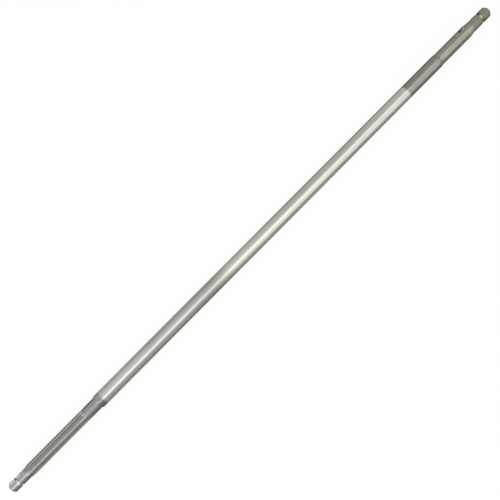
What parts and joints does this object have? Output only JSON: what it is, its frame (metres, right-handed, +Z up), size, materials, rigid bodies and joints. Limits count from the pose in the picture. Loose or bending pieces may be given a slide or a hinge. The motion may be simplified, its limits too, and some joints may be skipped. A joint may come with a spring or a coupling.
{
  "type": "splined jackshaft",
  "caption": "Long slender steel jackshaft turned from one bar, splined at one end and keyed at the other, with ring grooves, seats and journals for bearings and hubs.",
  "frame": {"origin": "on the shaft's axis, in the middle of the bearing seat beside the spline", "axes": "+X along the shaft's axis from the splined end towards the keyed end; +Z up as the shaft lies"},
  "size_m": [1.1751, 0.0254, 0.0254],
  "materials": {
    "ground_steel": "turned and ground steel with fine lines round the axis, dull and darker at the hardened ends"
  },
  "bodies": {
    "root": {"jackshaft": "ground_steel"}
  },
  "joints": []
}
